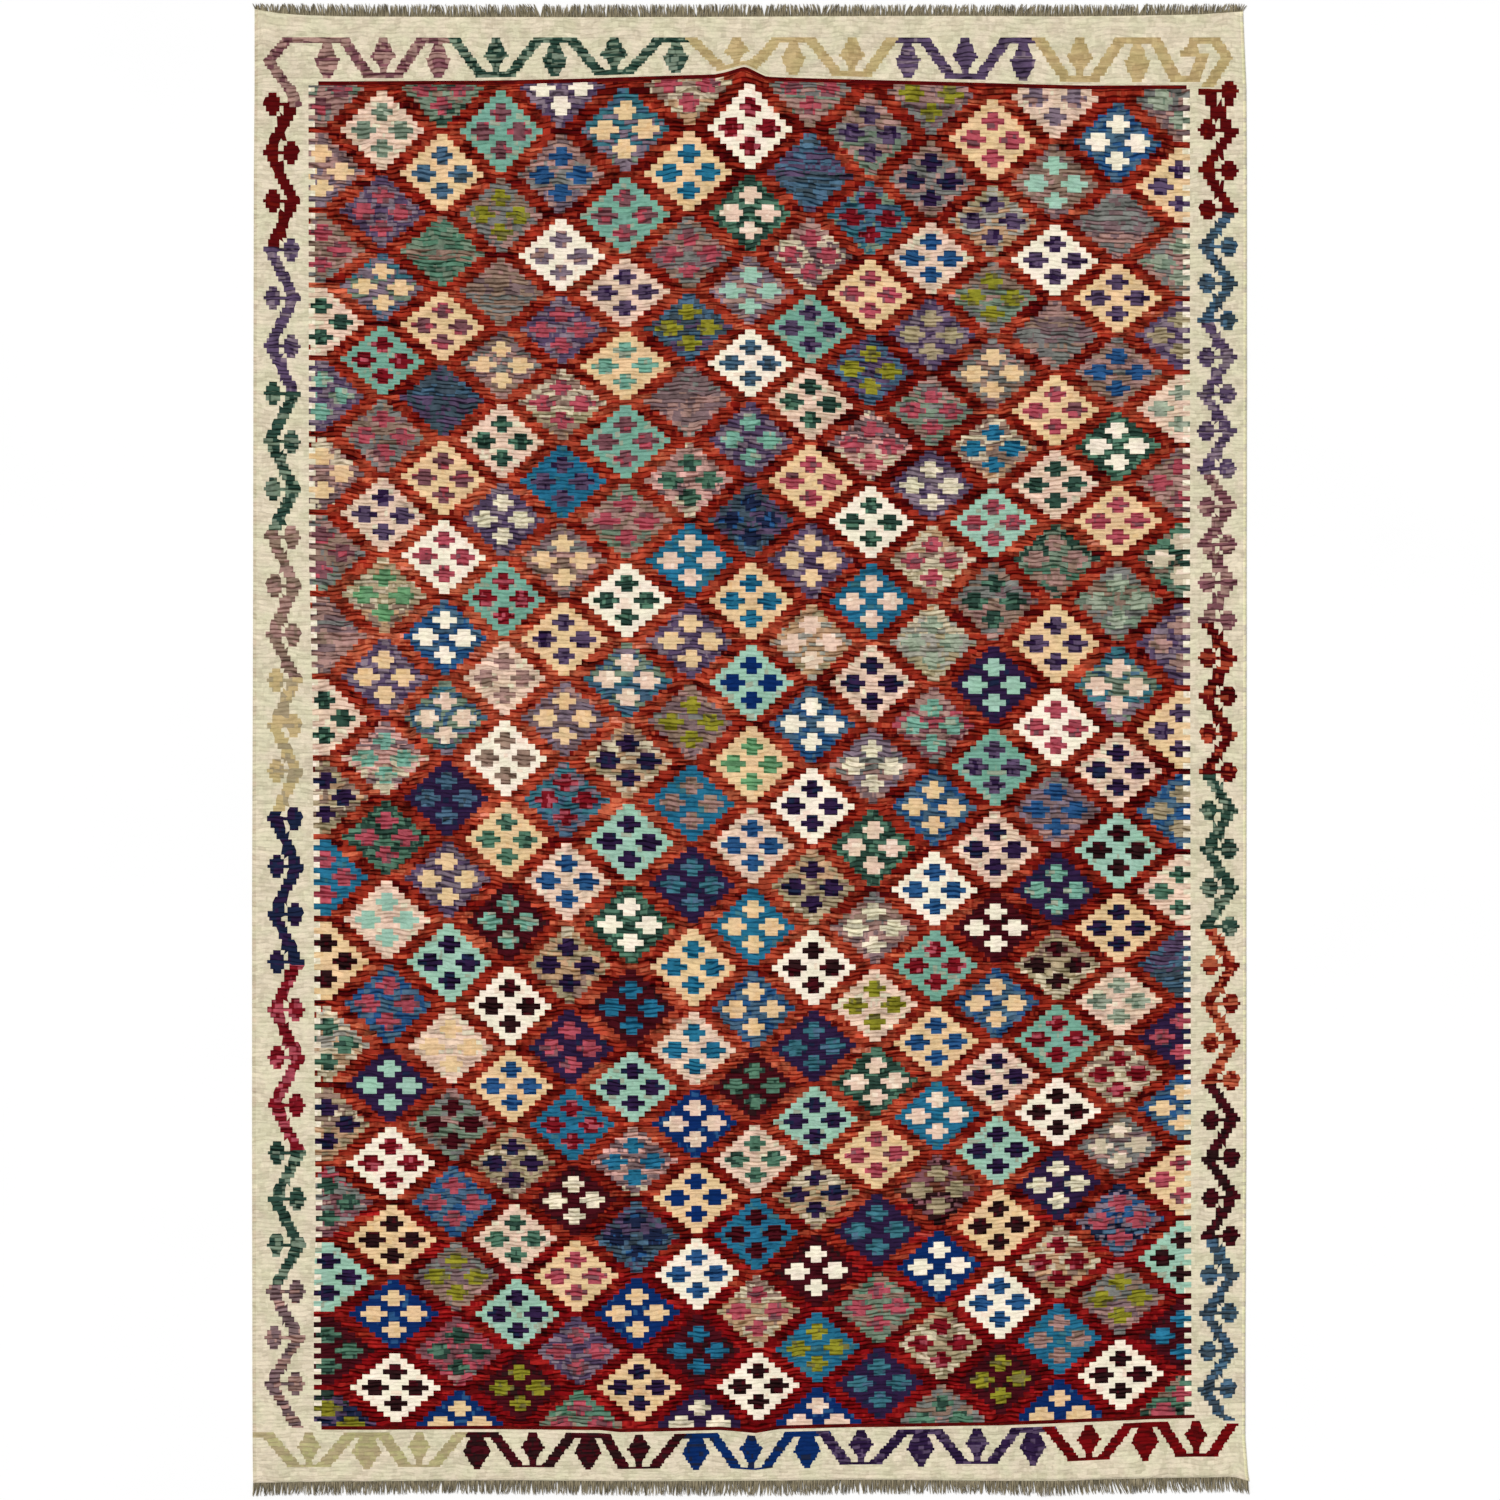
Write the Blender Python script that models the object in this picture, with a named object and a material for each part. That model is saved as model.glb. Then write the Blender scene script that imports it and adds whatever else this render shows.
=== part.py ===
"""A flat-woven wool rug lying on the floor: one cloth, and a fringe of warp ends at each end.

Metres, +Z up. The rug rests on z = 0 with its length along Y, and the origin is the centre of its
bounding box at floor level. The cloth is a thin sheet with a slightly uneven outline and one low,
soft crease down its middle. Each fringe is a narrow strip, parted from the cloth by a hair, with
tapering locks of warp that lie on the floor.
"""

import math
import random

import bmesh
import bpy
import numpy as np

# Driving sizes
RUG_LENGTH = 3.000  # over the fringe tips
CLOTH_THICKNESS = 0.003
PART_GAP = 0.0003  # between the cloth's end and the strip of its fringe

# The cloth's sides: distance up from the middle, and half width to the left and to the right
SIDE_EDGES = (
    # up, left, right
    (-1.466, 0.9980, 1.0000),
    (-1.445, 0.9985, 0.9965),
    (-1.380, 0.9990, 0.9915),
    (-1.200, 0.9995, 0.9915),
    (-0.800, 1.0000, 0.9935),
    (-0.300, 1.0000, 0.9935),
    (0.000, 0.9990, 0.9940),
    (0.300, 0.9980, 0.9940),
    (0.700, 0.9975, 0.9945),
    (1.150, 0.9965, 0.9945),
    (1.330, 0.9950, 0.9935),
    (1.430, 0.9950, 0.9890),
    (1.480, 0.9950, 0.9870),
)

# The cloth's ends: distance across from the middle, and where the cloth stops
TOP_EDGE = (
    # across, end
    (-0.995, 1.4860),
    (-0.980, 1.4830),
    (-0.944, 1.4770),
    (-0.904, 1.4740),
    (-0.804, 1.4710),
    (-0.603, 1.4700),
    (-0.302, 1.4693),
    (-0.102, 1.4700),
    (0.099, 1.4710),
    (0.299, 1.4720),
    (0.460, 1.4720),
    (0.620, 1.4710),
    (0.740, 1.4720),
    (0.901, 1.4750),
    (0.987, 1.4810),
)
BOTTOM_EDGE = (
    # across, end
    (-0.998, -1.4700),
    (-0.904, -1.4680),
    (-0.703, -1.4660),
    (-0.503, -1.4645),
    (-0.222, -1.4665),
    (0.019, -1.4655),
    (0.219, -1.4633),
    (0.460, -1.4653),
    (0.620, -1.4660),
    (0.700, -1.4630),
    (0.821, -1.4600),
    (0.971, -1.4580),
    (0.998, -1.4660),
)

# Crease: a low ridge that wanders a little to the right on its way down the rug
CREASE_HEIGHT = 0.0035
CREASE_HALF_WIDTH = 0.045
CREASE_STEPS = (-1.0, -0.62, -0.30, 0.0, 0.30, 0.62, 1.0)
CREASE_TOP_ACROSS = -0.012
CREASE_BOTTOM_ACROSS = 0.018
CREASE_FADE = 0.11  # it dies out this far before each end of the cloth
CREASE_WANDER = 0.004
CREASE_BENDS = 1.75  # how often it wanders to and fro along the rug
CREASE_SWELLS = 5  # how often it rises and sinks along the rug
CREASE_SWELL_DEPTH = 0.5  # of its height

# Grid of the cloth
CORNER_COLUMNS = (0.90, 0.95, 0.98, 1.0)
SIDE_COLUMNS = 8
SIDE_COLUMNS_REACH = (0.10, 0.80)
CLOTH_ROWS = 30

# Fringe
LOCKS_PER_END = 120
LOCK_SHARE = 0.68  # of the spacing; the rest is the gap between two locks
STRIP_DEPTH = 0.005
STRIP_THICKNESS = 0.0028
LOCK_STEPS = (0.55, 1.0)
LOCK_TIP_WIDTH = 0.55  # of its width at the root
LOCK_TIP_THICKNESS = 0.0014
LOCK_LEAN = 0.0022
LOCK_LEAN_WAVES = 9
LOCK_UNEVENNESS = (-0.0016, 0.0010)  # how much shorter or longer than its neighbours a lock may be
FACES_OUTWARD = 0.8  # least slant of the strip's outer faces
TOP_TIPS = (
    # across, tip
    (-1.0, 1.4985),
    (-0.6, 1.4965),
    (0.0, 1.4970),
    (0.5, 1.4965),
    (1.0, 1.4975),
)
BOTTOM_TIPS = (
    # across, tip
    (-1.00, -1.4970),
    (-0.60, -1.4925),
    (-0.22, -1.4955),
    (0.02, -1.4975),
    (0.22, -1.4930),
    (0.46, -1.4930),
    (0.58, -1.4980),
    (0.70, -1.4930),
    (0.96, -1.4890),
    (1.00, -1.4940),
)
LONGEST_LOCK_SHARES = {1.0: 0.02, -1.0: 0.79}  # how far along each end its longest lock stands

# Colours as the rug reads from a step away
CLOTH_COLOUR = (0.34, 0.20, 0.14, 1.0)
FRINGE_COLOUR = (0.30, 0.28, 0.22, 1.0)
WOOL_ROUGHNESS = 0.92


def column_of(table, index):
    return [row[index] for row in table]


def read_table(table, where, index=1):
    """The value in a table's column at this place, on straight lines between its rows."""
    return float(np.interp(where, column_of(table, 0), column_of(table, index)))


def crease_across(up):
    share = 0.5 - up / RUG_LENGTH
    straight = CREASE_TOP_ACROSS + share * (CREASE_BOTTOM_ACROSS - CREASE_TOP_ACROSS)
    return straight + CREASE_WANDER * math.sin(2.0 * math.pi * CREASE_BENDS * share)


def crease_rise(step, up):
    """Height of the sheet's underside, this many half widths from the crease's line."""
    if abs(step) >= 1.0:
        return 0.0
    to_end = min(read_table(TOP_EDGE, 0.0) - up, up - read_table(BOTTOM_EDGE, 0.0))
    fade = min(max(to_end / CREASE_FADE, 0.0), 1.0)
    fade = fade * fade * (3.0 - 2.0 * fade)
    wave = 0.5 - 0.5 * math.cos(2.0 * math.pi * CREASE_SWELLS * up / RUG_LENGTH)
    swell = 1.0 - CREASE_SWELL_DEPTH * wave
    return CREASE_HEIGHT * fade * swell * (0.5 + 0.5 * math.cos(math.pi * step))


def cloth_columns():
    """Places across the cloth as (share of the half width, step across the crease or None)."""
    inner = np.linspace(*SIDE_COLUMNS_REACH, SIDE_COLUMNS)
    right = [float(share) for share in inner] + list(CORNER_COLUMNS)
    left = [-share for share in reversed(right)]
    columns = [(share, None) for share in left]
    columns += [(0.0, step) for step in CREASE_STEPS]
    columns += [(share, None) for share in right]
    return columns


def cloth_point(column, row_share):
    """Place of a point of the sheet's underside."""
    share, step = column
    top = read_table(TOP_EDGE, share)
    bottom = read_table(BOTTOM_EDGE, share)
    up = bottom + row_share * (top - bottom)
    if step is not None:
        return crease_across(up) + step * CREASE_HALF_WIDTH, up, crease_rise(step, up)
    side = 2 if share > 0 else 1
    return share * read_table(SIDE_EDGES, up, side), up, 0.0


def wool(name, colour):
    material = bpy.data.materials.new(name)
    material.use_nodes = True
    shader = material.node_tree.nodes["Principled BSDF"]
    shader.inputs["Base Color"].default_value = colour
    shader.inputs["Roughness"].default_value = WOOL_ROUGHNESS
    shader.inputs["Metallic"].default_value = 0.0
    return material


def add_object(name, mesh_builder, material, collection, parent):
    mesh = bpy.data.meshes.new(name)
    mesh_builder.to_mesh(mesh)
    mesh_builder.free()
    mesh.materials.append(material)
    piece = bpy.data.objects.new(name, mesh)
    collection.objects.link(piece)
    piece.parent = parent
    return piece


def build_cloth():
    """The sheet: a flat grid drawn to the outline, raised along the crease and given its thickness."""
    columns = cloth_columns()
    last_column = len(columns) - 1
    sheet = bmesh.new()
    bmesh.ops.create_grid(sheet, x_segments=last_column, y_segments=CLOTH_ROWS, size=1.0)
    for vertex in sheet.verts:
        column = columns[round((vertex.co.x + 1.0) / 2.0 * last_column)]
        vertex.co = cloth_point(column, (vertex.co.y + 1.0) / 2.0)
    underside = list(sheet.faces)
    raised = bmesh.ops.extrude_face_region(sheet, geom=underside, use_keep_orig=True)
    upper = [item for item in raised["geom"] if isinstance(item, bmesh.types.BMVert)]
    bmesh.ops.translate(sheet, verts=upper, vec=(0.0, 0.0, CLOTH_THICKNESS))
    bmesh.ops.recalc_face_normals(sheet, faces=sheet.faces)
    return sheet


def cloth_end(row_share):
    """The cloth's end line, as the places of its grid's points."""
    points = [cloth_point(column, row_share) for column in cloth_columns()]
    return [point[0] for point in points], [point[1] for point in points]


def lock_sections(tip, root, outward, index):
    """Each step of a lock: (reach from its root, sideways shift, width share, thickness)."""
    lean = LOCK_LEAN * math.sin(2.0 * math.pi * LOCK_LEAN_WAVES * index / LOCKS_PER_END)
    lean += random.uniform(-0.5, 0.5) * LOCK_LEAN
    longest = RUG_LENGTH / 2.0 - abs(root)
    length = (tip - root) * outward + random.uniform(*LOCK_UNEVENNESS)
    if index == round(LONGEST_LOCK_SHARES[outward] * LOCKS_PER_END):
        length = longest
    length = min(length, longest)
    for share in LOCK_STEPS:
        width = 1.0 + (LOCK_TIP_WIDTH - 1.0) * share
        thickness = STRIP_THICKNESS + (LOCK_TIP_THICKNESS - STRIP_THICKNESS) * share
        yield length * share, lean * share * share, width, thickness


def build_fringe(row_share, tips, outward):
    """A strip along one end of the cloth, whose outer side is drawn out into locks face by face."""
    end_across, end_up = cloth_end(row_share)
    first, last = end_across[0], end_across[-1]
    spacing = (last - first) / (LOCKS_PER_END - 1 + LOCK_SHARE)
    places = []
    for index in range(LOCKS_PER_END):
        start = first + index * spacing
        places += [start, start + LOCK_SHARE * spacing]
    segments = len(places) - 1

    strip = bmesh.new()
    bmesh.ops.create_grid(strip, x_segments=segments, y_segments=1, size=1.0)
    for vertex in strip.verts:
        across = places[round((vertex.co.x + 1.0) / 2.0 * segments)]
        far = (vertex.co.y + 1.0) / 2.0
        up = float(np.interp(across, end_across, end_up))
        vertex.co = (across, up + outward * (PART_GAP + far * STRIP_DEPTH), 0.0)
    raised = bmesh.ops.extrude_face_region(strip, geom=list(strip.faces), use_keep_orig=True)
    upper = [item for item in raised["geom"] if isinstance(item, bmesh.types.BMVert)]
    bmesh.ops.translate(strip, verts=upper, vec=(0.0, 0.0, STRIP_THICKNESS))
    bmesh.ops.recalc_face_normals(strip, faces=strip.faces)

    outer = [face for face in strip.faces if face.normal.y * outward > FACES_OUTWARD]
    outer.sort(key=lambda face: face.calc_center_median().x)
    for index, face in enumerate(outer[::2]):
        middle = face.calc_center_median()
        half_width = abs(face.verts[0].co.x - middle.x)
        tip = read_table(tips, middle.x)
        sections = lock_sections(tip, middle.y, outward, index)
        for reach, shift, width, thickness in sections:
            face = bmesh.ops.extrude_discrete_faces(strip, faces=[face])["faces"][0]
            centre = face.calc_center_median()
            for vertex in face.verts:
                side = 1.0 if vertex.co.x > centre.x else -1.0
                high = vertex.co.z > centre.z
                vertex.co.x = middle.x + shift + side * half_width * width
                vertex.co.y = middle.y + outward * reach
                vertex.co.z = thickness if high else 0.0
    bmesh.ops.recalc_face_normals(strip, faces=strip.faces)
    return strip


def main():
    for item in list(bpy.data.objects):
        bpy.data.objects.remove(item, do_unlink=True)
    random.seed(7)
    collection = bpy.data.collections.new("kilim_rug")
    bpy.context.scene.collection.children.link(collection)
    root = bpy.data.objects.new("kilim_rug", None)
    collection.objects.link(root)

    cloth_wool = wool("woven_wool", CLOTH_COLOUR)
    warp_wool = wool("warp_wool", FRINGE_COLOUR)
    add_object("kilim_cloth", build_cloth(), cloth_wool, collection, root)
    top = build_fringe(1.0, TOP_TIPS, 1.0)
    add_object("fringe_top", top, warp_wool, collection, root)
    bottom = build_fringe(0.0, BOTTOM_TIPS, -1.0)
    add_object("fringe_bottom", bottom, warp_wool, collection, root)


main()
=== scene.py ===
import math
import random

import bmesh
import bpy
import numpy as np
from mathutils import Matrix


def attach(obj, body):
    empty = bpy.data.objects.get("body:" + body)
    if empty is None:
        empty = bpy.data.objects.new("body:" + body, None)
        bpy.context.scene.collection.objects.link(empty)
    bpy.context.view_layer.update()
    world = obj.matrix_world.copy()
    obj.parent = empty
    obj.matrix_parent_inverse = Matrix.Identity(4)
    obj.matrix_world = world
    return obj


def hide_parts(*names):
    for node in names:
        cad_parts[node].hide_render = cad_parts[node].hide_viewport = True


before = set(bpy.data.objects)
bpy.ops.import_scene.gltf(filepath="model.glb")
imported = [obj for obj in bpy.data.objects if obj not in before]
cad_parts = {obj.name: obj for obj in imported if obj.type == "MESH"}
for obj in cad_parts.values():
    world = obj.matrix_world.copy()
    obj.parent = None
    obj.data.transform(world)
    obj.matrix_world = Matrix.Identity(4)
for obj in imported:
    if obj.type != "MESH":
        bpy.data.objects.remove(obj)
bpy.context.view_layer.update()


random.seed(11)
bpy.context.scene.view_settings.view_transform = "Standard"


# How the rug lies: the same outline and crease as its solids have, in metres
lay = dict(
    thickness=0.003, length=3.0, creaseHeight=0.0035, creaseHalfWidth=0.045,
    creaseTopAcross=-0.012, creaseBottomAcross=0.018, creaseTop=1.47, creaseFoot=-1.4655,
    creaseFade=0.11,  # over this length it flattens out towards the ends
    creaseWander=0.004, creaseBends=1.75, creaseSwells=5, creaseSwellDepth=0.5,
    # up the rug, left half width, right half width
    sides=(
        (-1.466, 0.998, 1.0), (-1.445, 0.9985, 0.9965), (-1.38, 0.999, 0.9915), (-1.2, 0.9995, 0.9915),
        (-0.8, 1.0, 0.9935), (-0.3, 1.0, 0.9935), (0.0, 0.999, 0.994), (0.3, 0.998, 0.994),
        (0.7, 0.9975, 0.9945), (1.15, 0.9965, 0.9945), (1.33, 0.995, 0.9935), (1.43, 0.995, 0.989),
        (1.48, 0.995, 0.987),
    ),
    # across the rug, where its cloth ends
    topEnd=(
        (-0.995, 1.486), (-0.98, 1.483), (-0.944, 1.477), (-0.904, 1.474), (-0.804, 1.471),
        (-0.603, 1.47), (-0.302, 1.4693), (-0.102, 1.47), (0.099, 1.471), (0.299, 1.472),
        (0.46, 1.472), (0.62, 1.471), (0.74, 1.472), (0.901, 1.475), (0.987, 1.481),
    ),
    bottomEnd=(
        (-0.998, -1.47), (-0.904, -1.468), (-0.703, -1.466), (-0.503, -1.4645),
        (-0.222, -1.4665), (0.019, -1.4655), (0.219, -1.4633), (0.46, -1.4653), (0.62, -1.466),
        (0.7, -1.463), (0.821, -1.46), (0.971, -1.458), (0.998, -1.466),
    ),
)

# How the weave is set out. A tier is one step of the pattern up the rug and a unit one step across.
# Each grid column is half a unit; rows are one tier in the field and about half a tier in the ends.
weave = dict(
    leftColumns=17, fieldColumns=273, rightColumns=18, topRows=22, lineRows=2, tiers=240, bottomRows=20,
    firstUnit=-2.0,  # the field's left edge, counted from the first column of diamonds
    # up the rug, and where the field's left edge is
    fieldLeft=(
        (-1.35, -0.876), (-1.1, -0.8765), (-0.95, -0.872), (-0.8, -0.874), (-0.45, -0.8755),
        (-0.1, -0.8775), (0.12, -0.8795), (0.25, -0.8825), (0.38, -0.886), (1.34, -0.887),
    ),
    diamondUnits=19,  # from one diamond to the next along a row
    diamondTiers=7,  # from one row of diamonds to the next
    diamondRows=35,
    driftPower=2.2,  # the columns' drift grows with this power of the way down
    edgeUnits=5,  # of the field, over which it gives way to its left edge
    fieldTop=1.345, fieldLength=2.7,
    # place of every second column of diamonds at the field's top and at its bottom
    acrossTop=(-0.86, -0.619, -0.381, -0.124, 0.119, 0.361, 0.61, 0.861),
    acrossBottom=(-0.842, -0.582, -0.342, -0.102, 0.135, 0.384, 0.62, 0.865),
    # how high some rows of diamonds lie, at five places across
    across=(-0.739, -0.381, -0.002, 0.361, 0.736),
    rowsUp=(
        (0, (1.328, 1.33, 1.337, 1.316, 1.303)), (2, (1.158, 1.151, 1.159, 1.141, 1.131)),
        (4, (1.001, 0.989, 0.995, 0.985, 0.98)), (8, (0.708, 0.696, 0.703, 0.679, 0.684)),
        (12, (0.393, 0.381, 0.38, 0.381, 0.385)), (16, (0.064, 0.063, 0.053, 0.05, 0.04)),
        (20, (-0.256, -0.263, -0.272, -0.281, -0.283)), (24, (-0.594, -0.598, -0.602, -0.586, -0.577)),
        (28, (-0.907, -0.904, -0.894, -0.881, -0.865)), (32, (-1.205, -1.207, -1.203, -1.19, -1.179)),
        (34, (-1.352, -1.352, -1.348, -1.344, -1.328)),
    ),
    # the dark red line over and under the field: across, up
    topLine=(
        (-0.864, 1.338), (-0.543, 1.338), (-0.322, 1.343), (-0.142, 1.348), (-0.072, 1.35),
        (-0.012, 1.36), (0.031, 1.346), (0.199, 1.342), (0.42, 1.335), (0.67, 1.329), (0.881, 1.328),
    ),
    bottomLine=(
        (-0.86, -1.359), (-0.302, -1.36), (-0.262, -1.364), (-0.062, -1.36), (0.009, -1.366),
        (0.059, -1.358), (0.199, -1.354), (0.5, -1.352), (0.6, -1.348), (0.801, -1.338), (0.891, -1.336),
    ),
    # yarns, as first, second, the second one's share and how streaky they are
    plain=("cream", "oldCream", 0.4, 0.035), teeth=("cream", "ivory", 0.4, 0.05),
    line=("wine", "darkRed", 0.4, 0.12), leftSelvedge=("oldCream", "stone", 0.4, 0.06),
    rightSelvedge=("paleYellow", "cream", 0.3, 0.05), topLineHalf=0.004, bottomLineHalf=0.0036,
    pucker=(0.006, -0.012, 0.03, 9),  # at the top middle: height, across, half width, rows
    wander=0.0011,  # how far every pick strays
    # the row where the top vine begins and its height, and how far the bottom vine reaches under its line
    topVineRow=7, topVineUp=1.429, bottomVineRows=13, bottomVineDrop=0.0705,
)

# The columns and rows where the field begins and ends, and the row where the bottom border begins
fieldStart = weave["leftColumns"]
fieldEnd = fieldStart + weave["fieldColumns"]
columnCount = fieldEnd + weave["rightColumns"]
topRow = weave["topRows"] + weave["lineRows"]
footRow = topRow + weave["tiers"]
borderRow = footRow + weave["lineRows"]
rowCount = borderRow + weave["bottomRows"]


def flowThrough(places, values, at):
    # a smooth line through the values, straight on beyond the first and the last
    places, values = np.asarray(places, float), np.asarray(values, float)
    slopes = np.gradient(values, places)
    inside = np.clip(at, places[0], places[-1])
    index = np.clip(np.searchsorted(places, inside) - 1, 0, len(places) - 2)
    gap = places[index + 1] - places[index]
    t = (inside - places[index]) / gap
    rise = values[index + 1] - values[index]
    bend = slopes[index] * t * (1 - t) ** 2 - slopes[index + 1] * t * t * (1 - t)
    ends = np.where(at < places[0], slopes[0], slopes[-1])
    return values[index] + rise * t * t * (3 - 2 * t) + gap * bend + (at - inside) * ends


def readTable(table, at, item=1):
    return np.interp(at, [row[0] for row in table], [row[item] for row in table])


def fieldAcross(column, up):
    stations = np.arange(8) * weave["diamondUnits"]
    share = np.clip((weave["fieldTop"] - up) / weave["fieldLength"], 0, 1) ** weave["driftPower"]

    def at(unit):
        top = flowThrough(stations, weave["acrossTop"], unit)
        return top + (flowThrough(stations, weave["acrossBottom"], unit) - top) * share

    # the first columns give way, so that the field's left edge runs as it should
    units = (column - fieldStart) / 2
    give = readTable(weave["fieldLeft"], up) - at(weave["firstUnit"])
    return at(weave["firstUnit"] + units) + give * np.clip(1 - units / weave["edgeUnits"], 0, 1)


def acrossAt(column, up):
    # the borders fill what is left between the field and the cloth's sides
    across = fieldAcross(np.clip(column, fieldStart, fieldEnd), up)
    leftSide, rightSide = -readTable(lay["sides"], up, 1), readTable(lay["sides"], up, 2)
    across = leftSide + (across - leftSide) * np.clip(column / fieldStart, 0, 1)
    return across + (rightSide - across) * np.clip((column - fieldEnd) / weave["rightColumns"], 0, 1)


def upAt(row, across):
    # rows are counted down from the top end of the cloth
    row, across = np.asarray(row, float), np.asarray(across, float)
    topLine, bottomLine = readTable(weave["topLine"], across), readTable(weave["bottomLine"], across)
    marks = [
        (0, readTable(lay["topEnd"], across)), (weave["topVineRow"], 0 * across + weave["topVineUp"]),
        (weave["topRows"], topLine + weave["topLineHalf"]), (topRow, topLine - weave["topLineHalf"]),
    ]
    for diamondRow, heights in weave["rowsUp"]:
        middle = topRow + 1.5 + diamondRow * weave["diamondTiers"]
        marks.append((middle, flowThrough(weave["across"], heights, across)))
    underLine = bottomLine - weave["bottomLineHalf"]
    marks += [
        (footRow, bottomLine + weave["bottomLineHalf"]), (borderRow, underLine),
        (borderRow + weave["bottomVineRows"], underLine - weave["bottomVineDrop"]),
        (rowCount, readTable(lay["bottomEnd"], across)),
    ]
    up = np.zeros_like(row)
    for (first, high), (last, low) in zip(marks, marks[1:]):
        between = (row >= first) & (row <= last)
        up = np.where(between, high + (low - high) * (row - first) / (last - first), up)
    # the top middle is drawn up into a small pucker, and every pick wanders a little
    height, middle, halfWidth, rows = weave["pucker"]
    pucker = height * np.exp(-(((across - middle) / halfWidth) ** 2) - ((row - topRow) / rows) ** 2)
    calm = np.clip(np.minimum(row, rowCount - row) / weave["bottomRows"], 0, 1)
    wander = weave["wander"] * np.sin(across * 9.1 + row * 0.13) * np.sin(row * 0.071 + across * 3.3)
    return up + pucker + calm * wander


def creaseRise(across, up):
    # height of the sheet's underside over the floor
    share = 0.5 - up / lay["length"]
    line = lay["creaseTopAcross"] + share * (lay["creaseBottomAcross"] - lay["creaseTopAcross"])
    line = line + lay["creaseWander"] * np.sin(2 * math.pi * lay["creaseBends"] * share)
    step = np.clip((across - line) / lay["creaseHalfWidth"], -1, 1)
    fade = np.clip(np.minimum(lay["creaseTop"] - up, up - lay["creaseFoot"]) / lay["creaseFade"], 0, 1)
    fade = fade * fade * (3 - 2 * fade)
    wave = 0.5 - 0.5 * np.cos(2 * math.pi * lay["creaseSwells"] * up / lay["length"])
    swell = 1 - lay["creaseSwellDepth"] * wave
    return lay["creaseHeight"] * fade * swell * (0.5 + 0.5 * np.cos(math.pi * step))


# Dyed yarns, as red, green and blue from 0 to 255
yarns = dict(
    ivory=(243, 232, 211), shell=(238, 217, 196), cream=(220, 210, 183), oldCream=(207, 197, 170),
    pinkIvory=(224, 195, 173), gold=(226, 194, 150), wheat=(222, 186, 138), tan=(180, 146, 114),
    straw=(190, 169, 122), camel=(175, 153, 108), drab=(170, 156, 119), moss=(178, 170, 123),
    rose=(166, 74, 86), crimson=(116, 20, 30), wine=(84, 10, 12), blackRed=(72, 6, 8),
    darkRed=(101, 17, 11), red=(133, 39, 25), brick=(157, 63, 42), rust=(178, 89, 62),
    salmon=(206, 124, 102), ruby=(112, 10, 14), scarlet=(140, 26, 24), coral=(166, 66, 56),
    leafGreen=(100, 146, 104), turquoise=(116, 164, 146), mint=(154, 192, 172), seaGreen=(80, 116, 96),
    darkGreen=(44, 68, 58), blackGreen=(40, 54, 48), sage=(152, 162, 142), greyGreen=(114, 130, 112),
    teal=(58, 108, 120), brightBlue=(36, 104, 134), blue=(40, 80, 124), royal=(12, 42, 96),
    steel=(72, 100, 122), slate=(60, 74, 84), navy=(28, 36, 62), purple=(44, 28, 60), violet=(84, 68, 94),
    violetGrey=(124, 108, 120), greyMauve=(118, 96, 98), mauve=(160, 126, 118), plum=(118, 76, 82),
    taupe=(138, 114, 100), dustyPink=(200, 156, 146), lime=(136, 132, 40), olive=(110, 104, 60),
    khaki=(160, 146, 116), stone=(198, 184, 158), grey=(118, 118, 114), paleGrey=(158, 154, 142),
    brown=(106, 62, 48), maroon=(66, 14, 22), darkBrown=(42, 20, 22), paleYellow=(240, 232, 192),
)
yarnNames = list(yarns)

# Families of diamonds: the yarns of their ground, and how streaky it is
families = dict(
    ivory=("ivory shell", 0.05), pinkIvory=("pinkIvory cream", 0.15), gold=("gold wheat", 0.09),
    mint=("mint sage", 0.07), turquoise=("turquoise sage", 0.08), brightBlue=("brightBlue teal", 0.14),
    royal=("royal blue", 0.06), purple=("purple navy", 0.1), blue=("steel blue", 0.2),
    violet=("violet violetGrey", 0.2), darkGreen=("darkGreen seaGreen", 0.2),
    maroon=("maroon darkBrown", 0.14), sageMarl=("greyGreen taupe grey mauve", 0.22),
    mauveMarl=("greyMauve mauve taupe grey", 0.22), violetMarl=("violetGrey greyMauve grey mauve", 0.22),
    slateMarl=("slate steel violet", 0.24), greenMarl=("darkGreen greyGreen taupe seaGreen", 0.24),
    khakiMarl=("khaki stone taupe tan", 0.22), pinkMarl=("dustyPink stone mauve greyMauve", 0.22),
    stoneMarl=("stone paleGrey khaki tan", 0.22), tealMarl=("teal steel violetGrey greyGreen", 0.22),
    blueMarl=("blue steel violetGrey navy", 0.22), roseMarl=("rose mauve grey plum", 0.24),
    darkMarl=("navy blackGreen violet darkBrown", 0.24), brownMarl=("darkBrown plum maroon brown", 0.24),
)

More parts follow.
